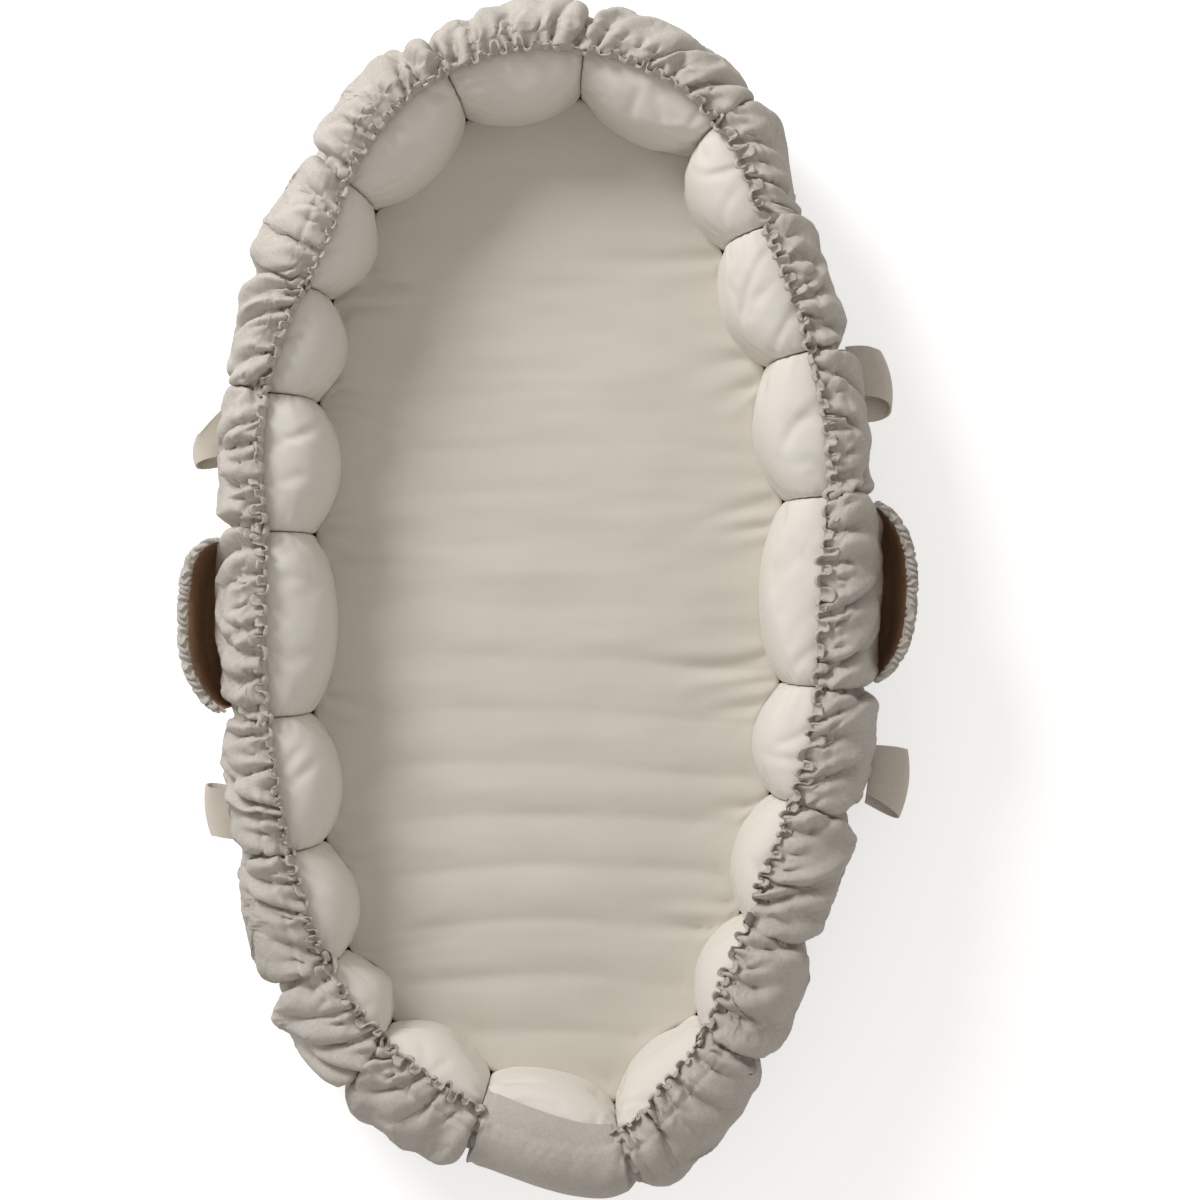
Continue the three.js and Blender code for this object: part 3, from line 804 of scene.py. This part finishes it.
# How deep the folds may go: less over the elastic, and more between two pillows
def lowest(turn, away):
    floor = blend(gathered["deepestBand"], gathered["deepestSkirt"], smooth(away / 18))
    fromSeam = np.abs(lengthAt(turn) - lengthAt(np.round(turn)))
    floor = floor - gathered["seamDeeper"] * np.exp(
        -(fromSeam / gathered["seamReach"]) ** 2)[None, :] * smooth((away + 4) / 20)
    middle = elastic["inset"] + elastic["width"] / 2
    besideElastic = np.maximum(0, np.abs(away + middle) - gathered["elasticReach"])
    return np.maximum(floor, gathered["overElastic"] - 0.25 * besideElastic ** 2)


# From 1 to 0 at the lower edge, which is sewn down
def sewnDown(away):
    return smooth((away[-1][None, :] - away) / cover["sewnWidth"])


# The height that the cloth keeps: part as it was laid, part as it settled, and its folds
def keptHeight(laid, height, folds, floor, away):
    highest = blend(gathered["highestBand"], gathered["highestSkirt"], smooth(away / 18))
    soft = np.where(height > 0, highest * np.tanh(height / highest), height)
    return np.maximum(blend(laid, soft, gathered["share"]) + folds, floor)


# The whole gathered sheet between two turns: the rows folded under, the standing ruffle,
# the band over the elastic and the skirt
def gatherSheet(first, last):
    turn = columnTurns(first, last)
    level = np.zeros((1, len(turn)))
    band = np.linspace(ruffle["stitch"], 0, cover["bandRows"])[:, None] + level
    away = np.vstack([band, skirtAways(turn)[1:]])
    lift, shift = gathers(turn, away)
    floor = lowest(turn, away)
    hold = sewnDown(away)
    lift = np.maximum(lift, floor) * hold
    ends = smooth(np.minimum(alongCover(turn),
                             lengthAt(startTurn + pillowCount - 1) - lengthAt(turn)) / 9)
    swing, curl = (line[None, :] * ends for line in meander(alongCover(turn)))
    up = np.linspace(1, 0, ruffle["rows"])[:-1, None]
    underAway, underUp, underSway = np.array(ruffle["under"]).T[:, :, None]
    standing = np.vstack([underUp + level, ruffle["height"] * up + lift[:1]])
    sway = np.vstack([underSway + level, up ** 0.8 + level])
    edge = ruffle["stitch"] + np.vstack([underAway + level, ruffle["lean"] * up + level])
    height = 1 + 0.25 * uneven(lengthAt(turn), 0 * turn, 14, 25)
    run = 0.35 * np.exp(-((away - ruffle["stitch"]) / 7) ** 2)
    places = coverPlaces(turn, np.vstack([edge, away]), np.vstack([standing * height, lift]),
                         np.vstack([sway * curl, shift * hold]),
                         np.vstack([sway * swing, run * swing]))
    uvAway = np.vstack([ruffle["stitch"] - 2 * ruffle["height"] + (0 * underUp + level)
                        + np.arange(len(underUp))[:, None] * 1.5,
                        ruffle["stitch"] - ruffle["height"] * up + level, away])
    folded = len(edge)
    away = np.vstack([edge, away])
    plain, normal = coverNormals(turn, away)
    low = np.vstack([0 * edge - 0.6, floor])
    folds = np.vstack([0 * edge, deepFolds(turn, away[folded:]) * hold])
    places = settleSheet(turn, away, places, plain, normal, low, folds, folded)
    band = keepOff(turn, places[folded:], normal[folded:])
    places[:folded] += band[0] - places[folded]  # the ruffle goes with its stitch line
    places[folded:] = band
    return turn, uvAway, places, folded


def settleSheet(turn, away, places, plain, normal, floor, folds, folded):
    rows, columns = away.shape
    sheet = gridPiece("settling", places, clothUv(turn, away), "linen")
    index = np.arange(rows * columns).reshape(rows, columns)
    pinned = np.concatenate([index[:3].ravel(), index[-1], index[:, 0], index[:, -1]])
    settled = settle(sheet, pinned, gathered).reshape(rows, columns, 3)
    bpy.data.objects.remove(sheet)
    # no fold goes through the pillows or stands further off than the cloth would
    height = ((settled - plain) * normal).sum(-1)
    laid = ((places - plain) * normal).sum(-1)
    wanted = keptHeight(laid, height, folds, floor, away)
    wanted[:folded] = np.clip(height[:folded], floor[:folded], gathered["highestBand"])
    return settled + normal * (wanted - height)[..., None]


def makeSkirt(name, places, uv):
    piece = gridPiece(name, places, uv, "linen", cover["thickness"])
    finishPiece(piece, "outer_cover")


def makeCover(side, first, last):
    turn, away, places, folded = gatherSheet(first, last)
    places[..., 2] = np.maximum(places[..., 2], cover["lowest"])
    hemRows = folded + cover["bandRows"]
    uv = clothUv(turn, away)
    hem = gridPiece(f"hem_{side}", places[:hemRows], uv[:hemRows], "linen", 0.6)
    finishPiece(hem, "hem_casing")
    makeSkirt(f"cover_{side}", places[hemRows - 1:], uv[hemRows - 1:])


pillows = [makePillow(index) for index in range(pillowCount)]
print("pillows made")

depsgraph = bpy.context.evaluated_depsgraph_get()
pillowTrees = [BVHTree.FromObject(piece, depsgraph) for piece in pillows]


# Lifts cloth off the pillows below it, along its own normals
def keepOff(turn, places, normal, least=1.4, reach=15, most=5):
    push = np.zeros(places.shape[:2])
    for column, here in enumerate(turn):
        near = {int(np.floor(here + step)) % pillowCount for step in (-0.12, 0, 0.12)}
        for row in range(len(places)):
            way = Vector(-normal[row, column])
            start = Vector(places[row, column] * mm) - way * reach * mm
            for index in near:
                spot, face, _, distance = pillowTrees[index].ray_cast(
                    start, way, (reach + least) * mm)
                if spot and face.dot(way) < 0:
                    push[row, column] = max(push[row, column], reach + least - distance / mm)
    wide = push = np.minimum(push, most)  # spread over its neighbours, so that no step is left
    for spread in 5 * (np.max,) + 7 * (np.mean,):
        padded = np.pad(wide, 1, mode="edge")
        wide = spread([padded[:-2, 1:-1], padded[2:, 1:-1], padded[1:-1, :-2],
                       padded[1:-1, 2:], wide], axis=0)
    border = np.minimum(np.arange(len(turn)), np.arange(len(turn))[::-1]) / 6
    return places + normal * blend(push, np.maximum(push, wide), smooth(border))[..., None]


for part, (partFirst, partLast) in cover["parts"].items():
    makeCover(part, partFirst, partLast)
print("cover made")

# The smooth facing over the foot pillow, and the skirt that goes on below it

facing = {
    "inner": -27, "rows": 34,
    "standsOff": 2.2,  # the pillow, at least
}


def makeFoot():
    turn = columnTurns(footPillow + pillowCount, startTurn + pillowCount)
    inner = facing["inner"] - (edgeAt(turn) + cover["bandWidth"])
    top = np.linspace(1, 0, facing["rows"])[:, None] * inner[None, :]
    away = np.vstack([top, skirtAways(turn)[1:]])
    lift, shift = gathers(turn, away)
    foot = facingShare(turn)
    floor = blend(lowest(turn, away),
                  blend(facing["standsOff"], gathered["deepestSkirt"], smooth(away / 18)), foot)
    hold = sewnDown(away)
    laid = np.maximum(lift, floor) * hold
    lift = keptHeight(laid, laid, deepFolds(turn, away) * hold * (1 - foot), floor, away)
    places = coverPlaces(turn, away, lift, shift * hold, 0 * away)
    _, normal = coverNormals(turn, away)
    places = keepOff(turn, places, normal)
    places[..., 2] = np.maximum(places[..., 2], cover["lowest"])
    uv = clothUv(turn, away)
    rows = facing["rows"]
    piece = gridPiece("facing", places[:rows], uv[:rows], "linen", cover["thickness"])
    finishPiece(piece, "foot_facing")
    makeSkirt("cover_foot", places[rows - 1:], uv[rows - 1:])


makeFoot()

# The mattress and the flat panels: blocks whose sides follow the ring

mattress = {
    "gap": -0.2, "notch": 0.5,  # to the pillows, and how far it fills the notch at a seam
    "seat": 4.6, "edgeHeight": 31, "height": 36, "round": 1.6,
    "cuts": (109, 209, 5), "channel": 43, "channelDepth": 2.6,
    # long soft ripples: their height, how much they are drawn out, size and seed
    "ripples": [(0.5, 0.22, 11, 33), (0.9, 0.4, 30, 34), (0.8, 1, 60, 32)],
    "puckersFrom": 480,  # below the middle, along the nest
}


# Puckers in from one side, counted from the foot, and drawn to the notches there
def makePuckers(side):
    puckers = scatterCreases(52 + side, 2 * mattress["puckersFrom"], 36, 0, (30, 120),
                             (2, 5.5), (3.2, 9), 0.2, lip=0.5, unevenSpacing=0.8)
    seams = seamPlaces[seamPlaces[:, 0] * side > 60, 1] + mattress["puckersFrom"]
    for pucker in puckers:
        nearest = seams[np.argmin(np.abs(seams - pucker["place"]))]
        pucker["place"] = blend(pucker["place"], nearest, 0.6)
    return puckers


def ovalBlock(name, cuts, outset):
    mesh, block = blockMesh(name, cuts)
    a, b, c = block.T
    across, far = a * np.sqrt(1 - b * b / 2), b * np.sqrt(1 - a * a / 2)
    angle, radius = np.arctan2(far, across), np.hypot(across, far)
    turn = (0.25 - angle / (2 * np.pi)) * pillowCount + 0.6
    # only the outer fifth follows the outline's notches
    nearby = np.mean([outset(turn + step) for step in np.linspace(-1, 1, 21)], axis=0)
    plain = ringPlace(turn, nearby, 0)
    notch = ringPlace(turn, outset(turn), 0) - plain
    places = plain * radius[:, None] + notch * smooth((radius - 0.8) / 0.2)[:, None]
    return mesh, places, radius, (c + 1) / 2


def mattressEdge(turn):
    full = np.mean([fullness((turn + step) % 1, 2, 0.85)  # rounded in the notches
                    for step in (-0.07, -0.035, 0, 0.035, 0.07)], axis=0)
    return -pillow["halfDepth"] * blend(mattress["notch"], 1, full) - mattress["gap"]


def makeMattress():
    mesh, places, radius, level = ovalBlock("mattress", mattress["cuts"], mattressEdge)
    x, y = places[:, 0], places[:, 1]
    edgeTurns = np.linspace(0, pillowCount, 901)[:-1]
    edge = ringPlace(edgeTurns, mattressEdge(edgeTurns), 0)
    inside = np.full(len(x), 1e9)
    for here in edge:
        inside = np.minimum(inside, (x - here[0]) ** 2 + (y - here[1]) ** 2)
    inside = np.where(radius > 0.999, 0, np.sqrt(inside))
    crown = blend(mattress["edgeHeight"], mattress["height"], smooth(inside / 110))
    # channels across it, deeper towards the foot, with the ripples between them
    phase = (y + 12 * (x / 170) ** 2 + 7 * uneven(0.6 * x, y, 70, 31)) / mattress["channel"]
    depth = blend(0.7, mattress["channelDepth"], smooth((60 - y) / 330))
    crown += depth * (np.abs(np.sin(np.pi * phase)) ** 0.8 - 1) * smooth(inside / 14)
    for height, stretch, size, seed in mattress["ripples"]:
        crown += height * uneven(stretch * x, y, size, seed)
    for side in (-1, 1):
        here = smooth(side * x / 60) * smooth((330 - np.abs(y)) / 90) * smooth(inside / 7)
        crown += press(y + mattress["puckersFrom"], inside[None], makePuckers(side),
                       3000)[0][0] * here
    round_ = np.sqrt(1 - (1 - np.clip((inside + 1.2) / mattress["round"], 0, 1)) ** 2)
    middle = 0.45 * mattress["edgeHeight"]
    upper = middle + (crown - middle) * round_
    lower = middle * (1 - np.sqrt(1 - (1 - np.clip(inside / 8, 0, 1)) ** 2))
    up = mattress["seat"] + blend(lower, upper, level)
    piece = shapedPiece("mattress_top_sleeve", mesh, "mattressCotton",
                        np.stack([x, y, up], -1), np.stack([x, y + up], -1))
    finishPiece(piece, "mattress_sleeve", "mattress")


def makeCore():
    def outset(turn):
        return -pillow["halfDepth"] - 8 + 0 * turn
    mesh, places, radius, level = ovalBlock("core", (39, 59, 3), outset)
    x, y = places[:, 0], places[:, 1]
    inside = (1 - radius) * 150
    thick = blend(12, 20, smooth(inside / 110)) * np.sqrt(
        1 - 0.8 * (1 - np.clip(inside / 12, 0, 1)) ** 2)
    up = mattress["seat"] + 2.5 + thick * level
    piece = shapedPiece("core_wadding", mesh, "wadding", np.stack([x, y, up], -1),
                        places[:, :2])
    finishPiece(piece, "mattress_core", "mattress")


panels = {
    "base_cloth": {"node": "base_panel", "inset": 0.4, "low": 0.05, "high": 2.3,
                   "cloth": "linen", "slot": "cover_linen"},
    "liner_cloth": {"node": "liner_floor", "inset": 3.4, "low": 2.75, "high": 4.25,
                    "cloth": "pillowCotton", "slot": "pillow_cotton"},
}


def makePanel(name, panel):
    def outset(turn):
        return coverSize(turn % pillowCount)[0] * cover["tuck"] - panel["inset"]
    mesh, places, _, level = ovalBlock(name, (79, 79, 1), outset)
    places[:, 2] = blend(panel["low"], panel["high"], level)
    piece = shapedPiece(name, mesh, panel["cloth"], places, places[:, :2])
    finishPiece(piece, panel["node"])


makeMattress()
makeCore()
for panelName, panelValues in panels.items():
    makePanel(panelName, panelValues)
print("mattress and panels made")

# The side pockets

pocket = {
    "reach": 20, "rim": 104, "foot": 14, "endShare": 0.05, "wraps": 25,
    "pillows": {"right": 5, "left": 15},
    # how square the mouth is, and how far it is furthest out towards the head end
    "square": {"right": 2.5, "left": 4.2}, "skew": {"right": -0.05, "left": 0.28},
    "round": 0.62,
    "belly": [(14, 0), (39, 0.62), (64.6, 0.87), (84, 0.97), (104, 1)],  # its reach by height
    "mouthLift": 4.6,  # from the rim to the middle of the rolled mouth
}


# Shares along a pocket against another measure of it, as rows and columns
def pocketGrid(columns, other):
    share = np.linspace(pocket["endShare"], 1 - pocket["endShare"], columns)
    return np.broadcast_arrays(share[None, :], other[:, None])


def pocketOut(side, share, height):
    across = np.clip((2 * share - 1) / (1 - 2 * pocket["endShare"]), -1, 1)
    moved = across - pocket["skew"][side] * (1 - across ** 2)
    full = np.maximum(0, 1 - np.abs(moved) ** pocket["square"][side]) ** pocket["round"]
    belly = np.interp(height, *zip(*pocket["belly"]))
    depth, _ = coverSize(pocket["pillows"][side] + share)
    fall = np.clip((pillow["middle"] - height) / 64, 0, 1)
    return depth * wallShare(fall) + 2.5 + pocket["reach"] * full * belly


# Places round the middle of the rolled mouth
def roundMouth(side, share, around, radius, lean=0):
    out = pocketOut(side, share, pocket["rim"]) + radius * np.cos(around)
    up = pocket["rim"] + pocket["mouthLift"] + radius * np.sin(around)
    return ringPlace(pocket["pillows"][side] + share + lean, out, up)


def makePocket(side):
    index = pocket["pillows"][side]
    length = lengthAt(index + 1) - lengthAt(index)
    share, height = pocketGrid(150, np.linspace(pocket["rim"], pocket["foot"], 60))
    out = pocketOut(side, share, height)
    along = (share - 0.5) * length
    fromRim = pocket["rim"] - height
    folds = scatterCreases(40 + index, 170, 7.5, 0, (8, 60), (0.8, 2.2), (1.6, 4.5), 0.15,
                           lip=0.5)
    lift = press(along[0] + 85, fromRim, folds, 400)[0]
    lift += 1.2 * uneven(along, fromRim, 30, 41 + index)
    keep = smooth((share - pocket["endShare"]) / 0.06) * smooth(
        (1 - pocket["endShare"] - share) / 0.06)
    out = out + np.clip(lift, -3, 2.5) * keep * smooth((height - pocket["foot"]) / 12)
    places = ringPlace(index + share, out, height)
    piece = gridPiece(f"pocket_wall_{side}", places, np.stack([along, fromRim], -1),
                      "pocketLinen", 1.2)
    # the inner shell takes the tan that paints the pocket's deep shade warm brown
    piece.data.materials.append(materials["pocketInsidePaintedShade"])
    piece.modifiers["thickness"].material_offset = 1
    finishPiece(piece, f"side_pocket_{side}")

    # the rolled mouth, wound in tight gathers
    share, around = pocketGrid(340, np.linspace(0, 2 * np.pi, 25))
    wraps = (pocket["wraps"] * share + 0.6 * uneven(share * 170, 0 * share, 21, 45 + index)
             + 0.45 * np.sin(around) + 0.3 * np.cos(2 * around + share * 40))
    swell = np.abs(np.sin(np.pi * wraps)) ** 0.7
    radius = 2.5 + 2.3 * swell + 0.5 * uneven(share * 170, around * 4, 6, 44 + index)
    lean = 2.2 * np.sin(2 * np.pi * wraps) * np.abs(np.sin(around))
    places = roundMouth(side, share, around, radius, lean / length)
    uv = np.stack([share * length * 1.4, around * 4.2], -1)
    piece = gridPiece(f"pocket_mouth_{side}", places, uv, "linen", 0.6, weld=True, ends=False)
    finishPiece(piece, f"pocket_casing_{side}")


for pocketSide in pocket["pillows"]:
    makePocket(pocketSide)
print("pockets made")

# The tape loops

loop = {
    "width": 38, "thickness": 1.6, "gap": 9,
    # its pillow, middle share, reach, how far its outer end and its returning layer lie
    # along the nest from its root, and how much wider its outer end is
    "places": {
        "tape_loop_right_head": (4, 0.17, 29, 3, 20, 0.02),
        "tape_loop_right_foot": (6, 0.66, 30, 4, 7, 0.28),
        "tape_loop_left_foot": (14, 0.3, 21, 5, 4, 0.0),
        "tape_loop_left_head": (16, 0.72, 22, -13, -8, -0.45),
    },
}


def makeLoop(node, index, middle, reach, slope, drift, flare):
    across, way = np.meshgrid(np.linspace(-0.5, 0.5, 17) * loop["width"],
                              np.linspace(-1, 1, 61), indexing="ij")
    length = lengthAt(index + 1) - lengthAt(index)
    depth, _ = coverSize(np.array([index + middle]))
    far = 1 - np.abs(way) ** 2.2
    bow = 1 - 0.12 * (2 * across / loop["width"]) ** 2
    out = depth[0] + 1.5 + reach * far * bow
    apart = 0.6 * loop["gap"] * np.sin(np.pi * np.abs(way)) ** 0.7 + 2.4 * np.abs(way)
    up = pillow["middle"] - np.sign(way) * apart
    up += 1.6 * (2 * across / loop["width"]) ** 2 * far
    moved = across * (1 + flare * far) + slope * far + drift * smooth((way + 1) / 2)
    places = ringPlace(index + middle + moved / length, out, up)
    uv = np.stack([way * reach * 1.1, across], -1)
    piece = gridPiece(node.replace("tape_", "webbing_"), places, uv, "tape", loop["thickness"])
    finishPiece(piece, node)


for loopNode, loopValues in loop["places"].items():
    makeLoop(loopNode, *loopValues)
print("loops made")

# The elastics, which lie hidden in the hem and in the pockets' mouths

def makeHemElastic():
    turn = columnTurns(startTurn, footPillow + pillowCount)[::3]
    aways = -elastic["inset"] - elastic["width"] * np.array([0, 0, 1, 1, 0])
    lifts = 0.9 + elastic["thickness"] * np.array([0, 1, 1, 0, 0])
    away = aways[:, None] + 0 * turn[None, :]
    places = coverPlaces(turn, away, lifts[:, None] + 0 * away, 0 * away, 0 * away)
    uv = clothUv(turn, np.arange(5)[:, None] * 3 + 0 * away)
    piece = gridPiece("hem_band", places, uv, "elastic", weld=True)
    finishPiece(piece, "hem_elastic")


def makePocketElastic(side):
    share, around = pocketGrid(90, np.linspace(0, 2 * np.pi, 9))
    places = roundMouth(side, share, around, elastic["radius"])
    uv = np.stack([share * 150, around * elastic["radius"]], -1)
    piece = gridPiece(f"mouth_band_{side}", places, uv, "elastic", weld=True)
    finishPiece(piece, f"pocket_elastic_{side}")


makeHemElastic()
for pocketSide in pocket["pillows"]:
    makePocketElastic(pocketSide)
print("elastics made")

# The floor, the light and the camera

studio = {
    "floor": 6.0, "floorColour": (0.86, 0.86, 0.86, 1), "floorGlow": 0.5,
    "ambient": 0.5, "ambientColour": (1, 0.97, 0.93, 1),
    "keyPower": 61, "keySize": 1.2, "keyPlace": (-1.6, 2.05, 1.65), "keyTarget": (0, 0, 0.05),
    "cameraPlace": (0.0432, 0.0008, 2.365), "lens": 86.25,
}
white = (1, 1, 1, 1)


# Where the camera, or a reflection, sees the floor or the world behind the object
def seenDirectly(tree):
    path = tree.nodes.new("ShaderNodeLightPath")
    return calc(tree, "MAXIMUM", path.outputs["Is Camera Ray"], calc(
        tree, "MAXIMUM", path.outputs["Is Glossy Ray"], path.outputs["Is Transmission Ray"]))


def makeFloor():
    shape = bmesh.new()
    bmesh.ops.create_grid(shape, x_segments=1, y_segments=1, size=studio["floor"] / 2)
    mesh = intoMesh(shape, bpy.data.meshes.new("floor"))
    material = bpy.data.materials.new("floor")
    material.use_nodes = True
    tree = material.node_tree
    tree.nodes.clear()
    diffuse = addNode(tree, "ShaderNodeBsdfDiffuse", {"Color": studio["floorColour"]})
    # the camera sees the floor a little paler than it is, so that it is white where lit
    glow = addNode(tree, "ShaderNodeEmission", {"Color": white, "Strength": studio["floorGlow"]})
    both = addNode(tree, "ShaderNodeAddShader", {0: diffuse.outputs[0], 1: glow.outputs[0]})
    mix = addNode(tree, "ShaderNodeMixShader", {
        0: seenDirectly(tree), 1: diffuse.outputs[0], 2: both.outputs[0]})
    addNode(tree, "ShaderNodeOutputMaterial", {0: mix.outputs[0]})
    newObject("floor", mesh, material)


def makeKey():
    data = bpy.data.lights.new("key", "AREA")
    data.shape = "DISK"
    data.size = studio["keySize"]
    data.energy = studio["keyPower"]
    lamp = newObject("key", data)
    lamp.location = studio["keyPlace"]
    way = Vector(studio["keyTarget"]) - Vector(studio["keyPlace"])
    lamp.rotation_euler = way.to_track_quat("-Z", "Y").to_euler()


def makeWorld():
    world = bpy.data.worlds.new("studio")
    bpy.context.scene.world = world
    world.use_nodes = True
    tree = world.node_tree
    around = tree.nodes["Background"]
    setInputs(tree, around, {"Color": studio["ambientColour"], "Strength": studio["ambient"]})
    behind = addNode(tree, "ShaderNodeBackground", {"Color": white, "Strength": 1.0})
    mix = addNode(tree, "ShaderNodeMixShader", {
        0: seenDirectly(tree), 1: around.outputs[0], 2: behind.outputs[0]})
    setInputs(tree, tree.nodes["World Output"], {"Surface": mix.outputs[0]})


def makeCamera():
    data = bpy.data.cameras.new("camera")
    data.sensor_width = 36
    data.lens = studio["lens"]
    camera = newObject("camera", data)
    camera.location = studio["cameraPlace"]
    bpy.context.scene.camera = camera


makeFloor()
makeKey()
makeWorld()
makeCamera()
bpy.context.scene.view_settings.view_transform = "Standard"
print("studio made")
